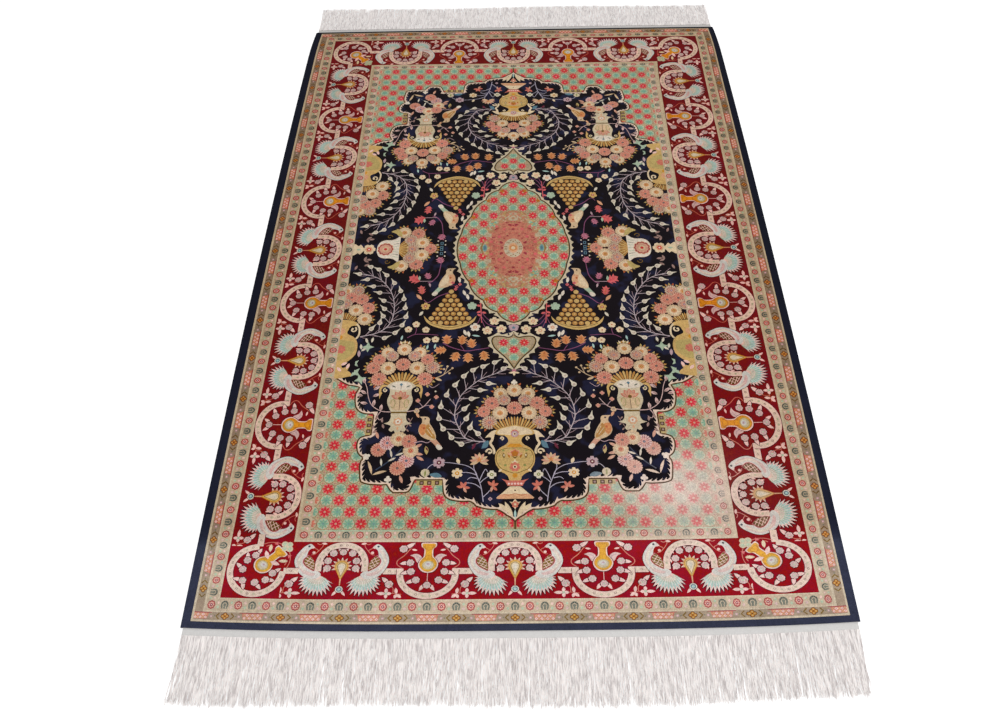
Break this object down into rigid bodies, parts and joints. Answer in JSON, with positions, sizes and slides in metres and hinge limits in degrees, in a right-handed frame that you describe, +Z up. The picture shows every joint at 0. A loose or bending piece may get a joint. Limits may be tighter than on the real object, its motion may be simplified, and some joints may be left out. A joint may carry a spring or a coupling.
{
  "type": "hand-knotted silk rug",
  "caption": "Rectangular hand-knotted silk rug with a flat-woven band and a warp fringe at each end, lying flat.",
  "frame": {"origin": "on the floor, in the middle of the rug's footprint, fringes included", "axes": "+Y along the rug's length, from the near end to the far end; +X across its width; +Z up, out of the pile"},
  "size_m": [1.027, 1.7496, 0.003],
  "materials": {
    "pile": "short silk pile",
    "fringe": "undyed silk warps"
  },
  "bodies": {
    "root": {"rug_cloth": "pile", "fringe_near": "fringe", "fringe_far": "fringe"}
  },
  "joints": []
}
